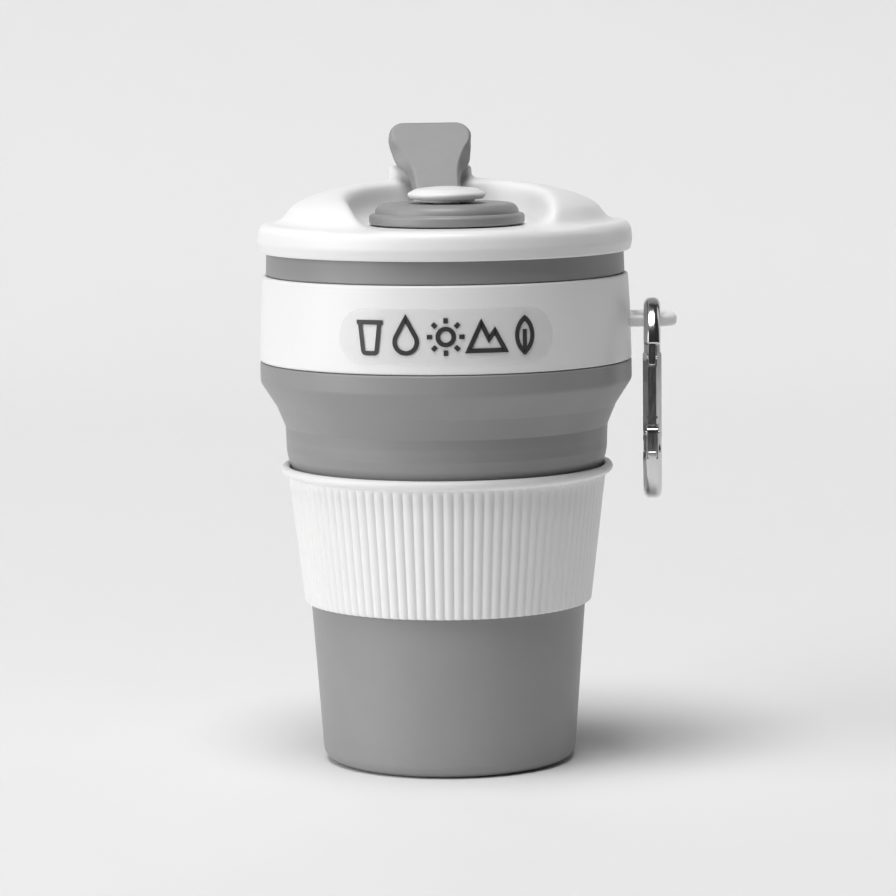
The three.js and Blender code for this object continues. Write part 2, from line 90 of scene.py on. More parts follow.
SLEEVE_FOOT, SLEEVE_TAPER, SLEEVE_WALL = 36.05, 0.117, 1.3
SLEEVE_BEAD = 1.15  # radius of the rolled rim
RIBS, RIB_DEPTH, RIB_TOP, RIB_FADE = 99, 0.42, 72.2, 0.9
RIB_COLUMNS = 12  # facets round each rib
RIB_PHASE = 0.14  # turn of the ribs, as a part of one rib
RIB_SKIN = 0.7  # points this far inside the outer face get no ribs

# The lid's own frame: the stopper points along +Y and its hinge is at HINGE
HINGE_AXIS = Vector(JOINTS["flap_hinge"]["axis"])
HINGE = Vector(JOINTS["flap_hinge"]["pos_m"]) / MM
LID_TURN = math.atan2(HINGE_AXIS.y, HINGE_AXIS.x)
HINGE_Y = 7.0
ON_LID = (
    Matrix.Translation((HINGE.x, HINGE.y, 0))
    @ Matrix.Rotation(LID_TURN, 4, "Z")
    @ Matrix.Translation((0, -HINGE_Y, 0))
)
FLAP_OPEN = math.radians(-JOINTS["flap_hinge"]["range_deg"][0])
FLANGE_RADIUS = HIGH["lid_shell"].x
SKIRT_LOW = 128.0
FLANGE_TOP = 135.3
DOME_RADIUS = 40.4
DOME_HEIGHT = 10.7
LID_WALL = 1.7
SKIRT_INNER = 45.5
SEAL_RING = {"inner": 39.6, "outer": 41.4, "low": 127.0}  # the lid's inner ring, which carries the seal
RIVET_HOLE = 3.6
VENT_RADIUS, VENT_Y = 0.8, 31.0
POCKET_RADIUS = 24.1
POCKET_Y = -17.8
DISC_Y = -17.2
DISC_RADIUS, DISC_STEP = 19.05, 138.1
BUTTON_RADIUS, BUTTON_COLLAR, BUTTON_STEM = 9.6, 6.9, 3.2
BUTTON_LOW = 141.0
SPOUT_TOP = HIGH["lid_shell"].z
SPOUT = {"half": 10.3, "front": 8.6, "back": 20.0}
SPOUT_ASIDE = 0.45  # the spout stands a little to the right of the sip hole
SIP = {"half": 6.5, "deep": 2.7, "y": 14.2}
FACE, UNDER = 5.4, 1.8  # outer face and underside of the flap, off the hinge, when it lies closed
FLAP_TIP, NECK_END = 11.75, -13.0  # distances from the hinge
FLAP_HALF, FLAP_CORNER = 10.45, 4.2
# Half widths of the stopper's face and back at distances from the hinge
FACE_EDGE = ((-8, 5.5), (-3.7, 5.7), (-0.9, 6.1), (1.3, 6.9), (3.6, 8.1), (5.9, 9.8), (7.4, 10.3), (9, 10.35))
BACK_EDGE = (
    (-8, 6.2), (-5.5, 6.4), (-3.4, 6.8), (-2.1, 7.5), (-1.1, 8.5), (-0.2, 9.5), (0.8, 10.3), (1.8, 10.45),
)

# The clip, drawn upright in the plane x = CLIP_X and then turned a little about the loop
CLIP_X, CLIP_Y, CLIP_TOP = Vector(JOINTS["carabiner_swing"]["pos_m"]) / MM
CLIP_AXIS = Vector(JOINTS["carabiner_swing"]["axis"])
CLIP_RADIUS = 12.5
CLIP_BOTTOM = LOW["carabiner_frame"].z + CLIP_RADIUS
CLIP_WIRE = 3.6
ON_CLIP = (
    Matrix.Translation((CLIP_X, CLIP_Y, 0))
    @ Matrix.Rotation(math.atan2(CLIP_AXIS.y, CLIP_AXIS.x), 4, "Z")
    @ Matrix.Translation((-CLIP_X, -CLIP_Y, 0))
)
GATE_Y = CLIP_Y - CLIP_RADIUS + CLIP_WIRE / 2
GATE_HALF, GATE_DEEP = 2.3, 3.4  # half its width, and its size front to back
PIVOT_Z = JOINTS["gate_swing"]["pos_m"][2] / MM
PIVOT_RADIUS = (HIGH["gate_pivot_pin"].z - LOW["gate_pivot_pin"].z) / 2
LATCH_Z = (HIGH["gate_latch_pin"].z + LOW["gate_latch_pin"].z) / 2
LATCH_RADIUS = (HIGH["gate_latch_pin"].z - LOW["gate_latch_pin"].z) / 2
LATCH_PLAY = 0.3  # room round the latch pin in the hook
NOSE, HOOK_LOW = 105.7, 100.6  # top of the gap in the wire, and the hook's lower end
SHOULDER = 78.4  # where the wire ends under the gate
TONGUE_LOW, TONGUE_TOP = 77.0, 85.3
BORE = {"radius": 0.9, "low": 85.0, "high": 95.8}  # the gate's, for its spring
RING_LOW, RING_HIGH, RING_DEPTH = 87.3, 87.9, 0.3  # the groove round the gate's front


# ---------------------------------------------------------------- outlines


def rounded(corners, steps=6):
    """The outline through corners (x, y) or (x, y, radius), with an arc at each corner that has a radius."""
    points = []
    for n, corner in enumerate(corners):
        here = Vector(corner[:2])
        radius = corner[2] if len(corner) > 2 else 0
        if not radius:
            points.append(here)
            continue
        before = (Vector(corners[n - 1][:2]) - here).normalized()
        after = (Vector(corners[(n + 1) % len(corners)][:2]) - here).normalized()
        half = math.acos(max(-1, min(1, before.dot(after)))) / 2
        centre = here + (before + after).normalized() * (radius / math.sin(half))
        first = here + before * (radius / math.tan(half)) - centre
        last = here + after * (radius / math.tan(half)) - centre
        start = math.atan2(first.y, first.x)
        turn = (math.atan2(last.y, last.x) - start + math.pi) % TAU - math.pi
        for k in range(steps + 1):
            angle = start + turn * k / steps
            points.append(centre + radius * Vector((math.cos(angle), math.sin(angle))))
    return points


def spaced(points, longest, closed=True):
    """The same outline with no stretch longer than that."""
    ends = points[1:] + points[:1] if closed else points[1:]
    made = []
    for a, b in zip(points, ends):
        count = max(1, math.ceil((b - a).length / longest))
        made += [a.lerp(b, k / count) for k in range(count)]
    return made if closed else [*made, points[-1]]


def stadium(half_length, half_width, y, inset=0, steps=10):
    """A slot's outline about (0, y), long along x."""
    r = half_width - inset
    points = []
    for side, start in ((1, -math.pi / 2), (-1, math.pi / 2)):
        for k in range(steps + 1):
            angle = start + math.pi * k / steps
            x = side * (half_length - half_width) + r * math.cos(angle)
            points.append(Vector((x, y + r * math.sin(angle))))
    return points


# ---------------------------------------------------------------- meshes


def new_object(name, verts, faces):
    """A smooth-shaded object from vertices in millimetres, with its faces pointing out."""
    mesh = bpy.data.meshes.new(name)
    mesh.from_pydata([tuple(c * MM for c in v) for v in verts], [], faces)
    bm = bmesh.new()
    bm.from_mesh(mesh)
    bmesh.ops.recalc_face_normals(bm, faces=bm.faces)
    bm.to_mesh(mesh)
    bm.free()
    mesh.shade_smooth()
    mesh.set_sharp_from_angle(angle=SHARP_ANGLE)
    obj = bpy.data.objects.new(name, mesh)
    bpy.context.scene.collection.objects.link(obj)
    return obj


def revolve(name, outline, segments=ROUND_SEGMENTS, swell=None):
    """A piece turned about Z from (radius, height) points. swell(angle, radius, height) is the new radius."""
    verts, faces, rings = [], [], []
    for r, z in outline:
        if r < 1e-6:
            rings.append([len(verts)] * segments)
            verts.append((0, 0, z))
            continue
        rings.append(list(range(len(verts), len(verts) + segments)))
        for k in range(segments):
            angle = TAU * k / segments
            radius = swell(angle, r, z) if swell else r
            verts.append((radius * math.cos(angle), radius * math.sin(angle), z))
    on_axis = outline[0][0] < 1e-6
    for ring, following in zip(rings, rings[1:] if on_axis else rings[1:] + rings[:1]):
        for k in range(segments):
            m = (k + 1) % segments
            face = [ring[k], ring[m], following[m], following[k]]
            faces.append(list(dict.fromkeys(face)))
    return new_object(name, verts, faces)


def loft(name, sections, closed=False):
    """A skin over sections of equal counts, capped at both ends unless it closes on itself."""
    count = len(sections[0])
    verts = [p for section in sections for p in section]
    faces = []
    last = len(sections) if closed else len(sections) - 1
    for n in range(last):
        a, b = n * count, (n + 1) % len(sections) * count
        for k in range(count):
            m = (k + 1) % count
            faces.append([a + k, a + m, b + m, b + k])
    if not closed:
        faces.append(list(range(count)))
        faces.append(list(range((len(sections) - 1) * count, len(verts))))
    return new_object(name, verts, faces)


def prism(name, outline, low, high, holes=(), bevel=0.0):
    """An outline in XY raised from low to high along Z, with holes and rounded edges."""
    bm = bmesh.new()
    edges = []
    for ring in (outline, *holes):
        verts = [bm.verts.new((p[0] * MM, p[1] * MM, low * MM)) for p in ring]
        edges += [bm.edges.new((verts[k - 1], verts[k])) for k in range(len(verts))]
    bmesh.ops.triangle_fill(bm, use_beauty=True, edges=edges)
    made = bmesh.ops.extrude_face_region(bm, geom=bm.faces[:])
    top = [v for v in made["geom"] if isinstance(v, bmesh.types.BMVert)]
    bmesh.ops.translate(bm, vec=(0, 0, (high - low) * MM), verts=top)
    bmesh.ops.dissolve_limit(bm, angle_limit=math.radians(1), verts=bm.verts[:], edges=bm.edges[:])
    bmesh.ops.recalc_face_normals(bm, faces=bm.faces)
    mesh = bpy.data.meshes.new(name)
    bm.to_mesh(mesh)
    bm.free()
    obj = bpy.data.objects.new(name, mesh)
    bpy.context.scene.collection.objects.link(obj)
    if bevel:
        soften(obj, bevel)
    return obj


def soften(obj, width, segments=3, angle=30):
    """Rounds the object's edges and shades it smooth."""
    bevel = obj.modifiers.new("soft_edges", "BEVEL")
    bevel.width = width * MM
    bevel.segments = segments
    bevel.limit_method = "ANGLE"
    bevel.angle_limit = math.radians(angle)
    settle(obj)


def settle(obj):
    """Applies the object's modifiers to its mesh."""
    depsgraph = bpy.context.evaluated_depsgraph_get()
    mesh = bpy.data.meshes.new_from_object(obj.evaluated_get(depsgraph))
    obj.modifiers.clear()
    old, obj.data = obj.data, mesh
    bpy.data.meshes.remove(old)
    mesh.name = obj.name
    mesh.shade_smooth()
    mesh.set_sharp_from_angle(angle=SHARP_ANGLE)


def combine(target, operation, *tools):
    """Joins closed tools to target or cuts them out of it, and uses them up."""
    for tool in tools:
        modifier = target.modifiers.new("combine", "BOOLEAN")
        modifier.operation = operation
        modifier.solver = "EXACT"
        modifier.object = tool
    settle(target)
    for tool in tools:
        bpy.data.objects.remove(tool)


def joined(target, *others):
    """One object from several closed meshes."""
    bm = bmesh.new()
    for obj in (target, *others):
        bm.from_mesh(obj.data)
    bm.to_mesh(target.data)
    bm.free()
    for obj in others:
        bpy.data.objects.remove(obj)
    target.data.shade_smooth()
    target.data.set_sharp_from_angle(angle=SHARP_ANGLE)
    return target


def moved(obj, matrix):
    """Moves the mesh itself, by a matrix in millimetres."""
    scaled = matrix.copy()
    scaled.translation = matrix.translation * MM
    obj.data.transform(scaled)
    return obj


def weigh_normals(obj):
    """Keeps broad flat stretches flat where they meet a rounding."""
    modifier = obj.modifiers.new("weighted_normals", "WEIGHTED_NORMAL")
    modifier.keep_sharp = True
    return obj


# ---------------------------------------------------------------- materials


def noise(tree, coordinates, scale, detail, distortion, stretch):
    """A noise texture in the object's own space, stretched along its axes if asked."""
    node = tree.nodes.new("ShaderNodeTexNoise")
    node.inputs["Scale"].default_value = scale
    node.inputs["Detail"].default_value = detail
    node.inputs["Distortion"].default_value = distortion
    if stretch:
        mapping = tree.nodes.new("ShaderNodeMapping")
        mapping.inputs["Scale"].default_value = stretch
        tree.links.new(coordinates.outputs["Object"], mapping.inputs["Vector"])
        tree.links.new(mapping.outputs["Vector"], node.inputs["Vector"])
    else:
        tree.links.new(coordinates.outputs["Object"], node.inputs["Vector"])
    return node


def ranged(tree, source, low, high, start=0.3, end=0.7):
    """The source's values from start to end, mapped to low to high."""
    node = tree.nodes.new("ShaderNodeMapRange")
    node.inputs["From Min"].default_value = start
    node.inputs["From Max"].default_value = end
    node.inputs["To Min"].default_value = low
    node.inputs["To Max"].default_value = high
    tree.links.new(source, node.inputs["Value"])
    return node.outputs["Result"]


def blended_colour(tree, factor, dark, light):
    """Between two colours by factor."""
    node = tree.nodes.new("ShaderNodeMix")
    node.data_type = "RGBA"
    node.inputs["A"].default_value = (*dark, 1)
    node.inputs["B"].default_value = (*light, 1)
    tree.links.new(factor, node.inputs["Factor"])
    return node.outputs["Result"]


def finish_material(
    name, dark, light, rough, cloud, grain, grain_depth, mottle, edge, stretch=None, **sockets
):
    """A moulded or metal finish: cloudy colour, fine grain in the surface, and slightly paler worn edges.

    cloud, mottle and grain are noise scales from broad to fine. grain_depth is in millimetres. edge is how
    much paler the edges are. sockets are inputs of the shader, with _ for a space.
    """
    material = bpy.data.materials.new(name)
    material.use_nodes = True
    tree = material.node_tree
    shader = tree.nodes["Principled BSDF"]
    coordinates = tree.nodes.new("ShaderNodeTexCoord")
    broad = noise(tree, coordinates, cloud, 4, 0.4, stretch)
    middle = noise(tree, coordinates, mottle, 3, 0.0, stretch)
    fine = noise(tree, coordinates, grain, 2, 0.0, stretch)
    mixed = tree.nodes.new("ShaderNodeMath")
    mixed.operation = "MULTIPLY_ADD"
    mixed.inputs[1].default_value = 0.35
    tree.links.new(middle.outputs["Fac"], mixed.inputs[0])
    tree.links.new(ranged(tree, broad.outputs["Fac"], 0, 0.65), mixed.inputs[2])
    colour = blended_colour(tree, mixed.outputs[0], dark, light)
    geometry = tree.nodes.new("ShaderNodeNewGeometry")
    worn = ranged(tree, geometry.outputs["Pointiness"], 0, edge, 0.52, 0.6)
    lift = tree.nodes.new("ShaderNodeMix")
    lift.data_type = "RGBA"
    lift.inputs["B"].default_value = (1, 1, 1, 1)
    tree.links.new(worn, lift.inputs["Factor"])
    tree.links.new(colour, lift.inputs["A"])
    tree.links.new(lift.outputs["Result"], shader.inputs["Base Color"])
    tree.links.new(ranged(tree, middle.outputs["Fac"], rough[0], rough[1]), shader.inputs["Roughness"])
    bump = tree.nodes.new("ShaderNodeBump")
    bump.inputs["Strength"].default_value = 0.5
    bump.inputs["Distance"].default_value = grain_depth * MM
    tree.links.new(fine.outputs["Fac"], bump.inputs["Height"])
    tree.links.new(bump.outputs["Normal"], shader.inputs["Normal"])
    for socket, value in sockets.items():
        shader.inputs[socket.replace("_", " ")].default_value = value
    return material


def grey_silicone():
    return finish_material(
        "grey_silicone", (0.282, 0.282, 0.284), (0.312, 0.312, 0.314), (0.38, 0.47), cloud=45, grain=3800,
        grain_depth=0.02, mottle=900, edge=0.03, Specular_IOR_Level=0.5,
    )


def white_plastic():
    return finish_material(
        "white_plastic", (0.86, 0.86, 0.857), (0.88, 0.88, 0.877), (0.3, 0.38), cloud=38, grain=3000,
        grain_depth=0.003, mottle=240, edge=0.0, Specular_IOR_Level=0.35,
    )


def polished_steel():
    return finish_material(
        "polished_steel", (0.60, 0.60, 0.61), (0.70, 0.70, 0.71), (0.14, 0.22), cloud=300, grain=9000,
        grain_depth=0.004, mottle=2400, stretch=(1, 1, 0.12), edge=0.25, Metallic=1.0,
    )


def spring_steel():
    return finish_material(
        "spring_steel", (0.26, 0.26, 0.27), (0.4, 0.4, 0.41), (0.3, 0.45), cloud=500, grain=8000,
        grain_depth=0.004, mottle=3000, edge=0.2, Metallic=1.0,
    )


def label_ink():
    return finish_material(
        "label_ink", (0.012, 0.012, 0.013), (0.03, 0.03, 0.032), (0.32, 0.5), cloud=200, grain=5000,
        grain_depth=0.003, mottle=1600, edge=0.02,
    )


def clear_film():
    return finish_material(
        "clear_film", (0.80, 0.81, 0.81), (0.9, 0.9, 0.9), (0.08, 0.2), cloud=60, grain=1500,
        grain_depth=0.004, mottle=500, edge=0.2, Alpha=0.16, Coat_Weight=0.5, Coat_Roughness=0.08,
    )


def pale_floor():
    return finish_material(
        "pale_floor", (0.785, 0.785, 0.785), (0.795, 0.795, 0.795), (0.6, 0.7), cloud=3, grain=900,
        grain_depth=0.02, mottle=40, edge=0.0,
    )


def dress(obj, material, body, nodes):
    """Gives a finished piece its material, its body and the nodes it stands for."""
    obj.data.materials.clear()
    obj.data.materials.append(material)
    if body:
        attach(obj, body)
    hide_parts(*nodes)


# ---------------------------------------------------------------- cup


def cup_lower():
    """Silicone from the foot to the middle tier, with the hidden fold between."""
    outline = rounded([
        (0, 0.5),
        (20, 0.5, 0.4),
        (20.8, 0, 0.4),
        (FOOT_RADIUS, 0, FOOT_ROUND),
        (BASE_RADIUS, BASE_TOP),
        (36.4, FOLD_HIGH, 3),
        (38.2, 72.6, 3),
        (39.8, 76.6, 3.5),
        (SPLIT_RADIUS - 0.06, 79, 3),
        (SPLIT_RADIUS, SPLIT),
        (MIDDLE_INNER, SPLIT),
        (38.1, 77, 3),
        (36.6, 72, 3),
        (34.95, FOLD_HIGH, 2),
        (BASE_RADIUS - 1.4, FOLD_LOW, 1),
        (BASE_RADIUS - 2.4, BASE_TOP - 1.6, 0.8),
        (29.4, FLOOR_TOP, 4),
        (0, FLOOR_TOP),
    ])
    piece = revolve("cup_lower", spaced(outline, 1.6, closed=False))
    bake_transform(piece)
    return weigh_normals(piece)


def cup_upper():
    """Silicone from the middle tier to the drinking rim, with the fold, the ledge and the band's groove."""
    groove_low, groove_top = BAND_LOW - GROOVE_GAP, BAND_TOP + GROOVE_GAP
    outline = rounded([
        (SPLIT_RADIUS, SPLIT),
        (40.38, 84.6, 1.2),
        (42.5, 89.7, 1.6),
        (LEDGE_RADIUS, 95.85, 2.6),
        (LEDGE_RADIUS, groove_low, 0.5),
        (GROOVE_RADIUS, groove_low),
        (GROOVE_RADIUS, groove_top),
        (NECK_RADIUS, groove_top, 0.35),
        (NECK_RADIUS - 0.35, RIM_TOP, 1.05),
        (CUP_INNER, RIM_TOP, 0.8),
        (CUP_INNER, 102, 4),
        (44.4, 97.6, 3),
        (41.1, 89.9, 2),
        (39.1, 84.6, 2),
        (MIDDLE_INNER, SPLIT),
    ])
    piece = revolve("cup_upper", spaced(outline, 1.2))
    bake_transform(piece)
    return weigh_normals(piece)


def heat_sleeve():
    """Ribbed grip with a rolled rim."""
    bead_steps, bead_start, bead_sweep = 20, -72, 255

    def radius_at(z):
        return SLEEVE_FOOT + SLEEVE_TAPER * (z - SLEEVE_LOW)

    outline = rounded([
        (SLEEVE_FOOT - SLEEVE_WALL, SLEEVE_LOW, 0.25),
        (SLEEVE_FOOT, SLEEVE_LOW, 0.45),
        (radius_at(42), 42),
    ])
    outline += [Vector((radius_at(z), z)) for z in np.linspace(44, 70, 11)]
    outline += [Vector((radius_at(z), z)) for z in (70.8, 71.2, 71.5, 71.8, RIB_TOP)]
    centre = Vector((SLEEVE_RADIUS - SLEEVE_BEAD, SLEEVE_TOP - SLEEVE_BEAD))
    for k in range(bead_steps + 1):
        angle = math.radians(bead_start + bead_sweep * k / bead_steps)
        outline.append(centre + SLEEVE_BEAD * Vector((math.cos(angle), math.sin(angle))))
    outline += [Vector((radius_at(z) - SLEEVE_WALL, z)) for z in np.linspace(71.6, 45, 8)]

    def ribs(angle, radius, z):
        inside = radius < radius_at(z) - RIB_SKIN
        if inside or z > RIB_TOP:
            return radius
        across = (angle * RIBS / TAU + RIB_PHASE) % 1.0 - 0.5
        fade = min(1.0, (RIB_TOP - z) / RIB_FADE)
        return radius - RIB_DEPTH * abs(2 * across) ** 2.2 * fade * fade * (3 - 2 * fade)

    return revolve("heat_sleeve_ribbed", outline, segments=RIBS * RIB_COLUMNS, swell=ribs)


# ---------------------------------------------------------------- band and label


def band_radius(z):
    """Outer radius of the band at a height."""
    share = (z - BAND_LOW) / (BAND_TOP - BAND_LOW)
    return 46.42 - 0.2 * share - 0.62 * share * share


def carry_band():
    """The white band round the top tier, slightly barrelled."""
    outside = [(band_radius(z), z) for z in np.linspace(BAND_LOW + 2, BAND_TOP - 2, 12)]
    outline = rounded([
        (BAND_INNER, BAND_LOW, 0.3),
        (band_radius(BAND_LOW), BAND_LOW, 0.55),
        *outside,
        (band_radius(BAND_TOP), BAND_TOP, 0.7),
        (BAND_INNER, BAND_TOP, 0.3),
    ])
    return weigh_normals(revolve("carry_band_ring", outline))


def clip_loop():
    """The level loop on the band that the clip hangs from."""
    low, high = 109.0, 111.9
    root, half, out, corner = 45.2, 9.1, HIGH["carry_band"].x, 5.6
    hole_in, hole_half, hole_out = 47.2, 5.9, 54.9
    outline = rounded([(root, -half), (out, -half, corner), (out, half, corner), (root, half)], 12)
    hole = rounded([
        (hole_in, -hole_half, 1.3),
        (hole_in, hole_half, 1.3),
        (hole_out, hole_half, 2.6),
        (hole_out, -hole_half, 2.6),
    ], 8)
    return weigh_normals(prism("clip_loop", outline, low, high, [hole], bevel=0.95))


LABEL_MIDDLE = 110.2
LABEL_HALF_HEIGHT = 6.6
LABEL_HALF_LENGTH = 27.0
FILM_LIFT, FILM_THICK = 0.03, 0.16
INK_LOW, INK_HIGH = 0.2, 0.26  # the print's underside and face, off the band


def on_band(u, z, lift):
    """The point at arc length u from the front and height z, lifted off the band."""
    radius = band_radius(z) + lift
    angle = -math.pi / 2 + u / band_radius(z)
    return (radius * math.cos(angle), radius * math.sin(angle), z)


def band_label():
    """A clear pill-shaped film on the front of the band."""
    rows, columns = 10, 120
    sections = []
    for k in range(columns + 1):
        u = -LABEL_HALF_LENGTH + 2 * LABEL_HALF_LENGTH * (0.5 - 0.5 * math.cos(math.pi * k / columns))
        past = max(0.0, abs(u) - (LABEL_HALF_LENGTH - LABEL_HALF_HEIGHT))
        half = max(0.12, math.sqrt(max(0.0, LABEL_HALF_HEIGHT**2 - past**2)))
        heights = np.linspace(LABEL_MIDDLE - half, LABEL_MIDDLE + half, rows + 1)
        outer = [on_band(u, z, FILM_LIFT + FILM_THICK) for z in heights]
        inner = [on_band(u, z, FILM_LIFT) for z in heights[::-1]]
        sections.append(outer + inner)
    return loft("band_label_film", sections)


def stroke(points, width, closed=False):
    """A flat ribbon along (u, z) points on the label, as loft sections."""
    count = len(points)
    sections = []
    for n, p in enumerate(points):
        before = points[n - 1] if closed or n else p
        after = points[(n + 1) % count] if closed or n < count - 1 else p
        a = (p - before).normalized() if (p - before).length else (after - p).normalized()
        b = (after - p).normalized() if (after - p).length else a
        along = (a + b).normalized()
        side = Vector((-along.y, along.x)) * (width / 2 / max(0.5, along.dot(b)))
        ring = ((p + side, INK_LOW), (p + side, INK_HIGH), (p - side, INK_HIGH), (p - side, INK_LOW))
        sections.append([on_band(*point, lift) for point, lift in ring])
    return sections


def circle(u, z, radius, start=0.0, end=TAU):
    """Points round (u, z), without the last one where the circle is whole."""
    steps = 40
    whole = abs(end - start - TAU) < 1e-6
    count = steps if whole else steps + 1
    return [
        Vector((u + radius * math.cos(a), z + radius * math.sin(a)))
        for a in (start + (end - start) * k / steps for k in range(count))
    ]


def line(*points):
    """An open line through (u, z) points, as short stretches."""
    return spaced([Vector(p) for p in points], 0.6, closed=False)


def cup_symbol(u, z):
    sides = rounded([(u - 2.5, z + 3.2), (u - 1.7, z - 4, 0.8), (u + 1.7, z - 4, 0.8), (u + 2.5, z + 3.2)], 5)
    rim = line((u - 3.4, z + 3.4), (u + 3.4, z + 3.4))
    return [(line(*sides), False), (rim, False)]


def drop_symbol(u, z):
    belly = circle(u, z - 1.2, 2.7, math.radians(155), math.radians(385))
    return [(spaced([Vector((u, z + 4.4)), *belly], 0.6), True)]


def sun_symbol(u, z):
    shapes = [(circle(u, z, 1.9), True)]
    for k in range(8):
        ray = Vector((math.cos(TAU * k / 8), math.sin(TAU * k / 8)))
        shapes.append(([Vector((u, z)) + ray * 3.2, Vector((u, z)) + ray * 4.5], False))
    return shapes


def hills_symbol(u, z):
    ridge = ((-4.4, -3.4), (-1.3, 3.2), (0.6, -0.7), (2.0, 1.3), (4.6, -3.4))
    return [(spaced([Vector((u + across, z + up)) for across, up in ridge], 0.6), True)]


def leaf_symbol(u, z):
    bow = math.radians(52)
    reach = 4.1 / math.sin(bow)
    left = circle(u + reach * math.cos(bow), z, reach, math.pi - bow, math.pi + bow)
    right = circle(u - reach * math.cos(bow), z, reach, -bow, bow)
    return [(left[:-1] + right[:-1], True), (line((u, z - 4.6), (u, z + 1.4)), False)]


def label_print():
    """Five plain pictograms: cup, drop, sun, hills and leaf."""
    width = 1.1
    row = (
        (cup_symbol, -18.6),
        (drop_symbol, -9.6),
        (sun_symbol, 0.0),
        (hills_symbol, 9.8),
        (leaf_symbol, 19.4),
    )
    shapes = [shape for symbol, u in row for shape in symbol(u, LABEL_MIDDLE)]
    parts = []
    for n, (points, closed) in enumerate(shapes):
        parts.append(loft(f"print_{n}", stroke(points, width, closed), closed))
    piece = joined(*parts)
    piece.name = "band_label_print"
    return piece


# ---------------------------------------------------------------- lid


def dome(radius, foot, height):
    """The dome's side view from its foot to the axis: a little fuller than an ellipse."""
    steps, fullness = 40, 0.92
    points = []
    for k in range(steps + 1):
        angle = (k / steps) * math.pi / 2
        r = radius * max(0.0, math.cos(angle)) ** fullness if k < steps else 0.0
        points.append(Vector((r, foot + height * math.sin(angle) ** fullness)))
    return points


def spout_block(name, inset, low, high):
    """The spout's outside, or its hollow where it is inset."""
    half, front, back = SPOUT["half"] - inset, SPOUT["front"] + inset, SPOUT["back"] - inset
    outline = rounded([(-half, front, 3), (half, front, 3), (half, back, 5), (-half, back, 5)], 8)
    block = prism(name, outline, low, high, bevel=0 if inset else 0.9)
    return moved(block, ON_LID @ Matrix.Translation((SPOUT_ASIDE, 0, 0)))


def pocket_space(name, levels):
    """The space over the pocket at (radius, height) levels: a round back and straight sides to the front."""
    sections = []
    front, steps = -48, 64
    for radius, z in levels:
        ring = [ON_LID @ Vector((x, front, z)) for x in np.linspace(-radius, radius, 12)]
        for k in range(steps + 1):
            angle = math.pi * k / steps
            ring.append(ON_LID @ Vector((radius * math.cos(angle), POCKET_Y + radius * math.sin(angle), z)))
        sections.append([tuple(p) for p in ring])
    return loft(name, sections)


def lid_bore(name, radius, y, low, high):
    """A round cutter through the lid."""
    column = revolve(name, [Vector(p) for p in ((0, low), (radius, low), (radius, high), (0, high))], 40)
    return moved(column, ON_LID @ Matrix.Translation((0, y, 0)))


def lid_shell():
    """Flange, skirt, dome, pocket, spout and inner ring as one moulding with soft edges."""
    foot = FLANGE_TOP - 0.1
    under = FLANGE_TOP - LID_WALL
    outer = rounded([
        (0, SKIRT_LOW),
        (FLANGE_RADIUS - 0.55, SKIRT_LOW, 0.5),
        (FLANGE_RADIUS - 0.3, SKIRT_LOW + 1.4, 1.6),
        (FLANGE_RADIUS + 0.02, SKIRT_LOW + 2.6, 1.2),
        (46.25, FLANGE_TOP, 2.6),
        (DOME_RADIUS + 0.4, FLANGE_TOP),
    ], 8) + dome(DOME_RADIUS, foot, DOME_HEIGHT)
    below, above = 118, 160  # levels clear of the lid
    inner = [
        Vector((0, below)),
        Vector((SKIRT_INNER, below)),
        Vector((SKIRT_INNER - 0.2, under)),
        Vector((DOME_RADIUS - LID_WALL, under)),
        *dome(DOME_RADIUS - LID_WALL, foot - 0.6, DOME_HEIGHT - LID_WALL + 0.6)[1:],
    ]
    body = revolve("lid_shell_fine", outer)
    r = POCKET_RADIUS
    fillet = [(4.2, 0), (3.0, 0.3), (1.9, 1.0), (0.9, 2.2), (0.25, 3.8), (0, 5.4)]
    wall = [(r - back, FLANGE_TOP + up) for back, up in fillet] + [(r + 1.6, above)]
    combine(body, "DIFFERENCE", pocket_space("pocket", wall))
    combine(body, "UNION", spout_block("spout_outside", 0, 139, SPOUT_TOP))
    hollow = revolve("hollow", inner)
    combine(hollow, "DIFFERENCE", pocket_space("pocket_wall", [(r + LID_WALL, under), (r + 3.2, above)]))
    combine(hollow, "UNION", spout_block("spout_inside", LID_WALL, 136, SPOUT_TOP - LID_WALL))
    combine(body, "DIFFERENCE", hollow)
    ring = rounded([
        (SEAL_RING["inner"], SEAL_RING["low"], 0.5),
        (SEAL_RING["outer"], SEAL_RING["low"], 0.5),
        (SEAL_RING["outer"], under + 0.6),
        (SEAL_RING["inner"], under + 0.6),
    ])
    combine(body, "UNION", revolve("ring", ring))
    sip = prism("sip", stadium(SIP["half"], SIP["deep"], SIP["y"]), SPOUT_TOP - 8, SPOUT_TOP + 2)
    rivet = lid_bore("rivet_hole", RIVET_HOLE, DISC_Y, 130, 140)
    vent = lid_bore("vent_hole", VENT_RADIUS, VENT_Y, 130, 150)
    combine(body, "DIFFERENCE", moved(sip, ON_LID), rivet, vent)
    remesh = body.modifiers.new("remesh", "REMESH")
    remesh.mode = "VOXEL"
    remesh.voxel_size = 0.36 * MM
    settle(body)
    soften_pocket_rim(body)
    return body


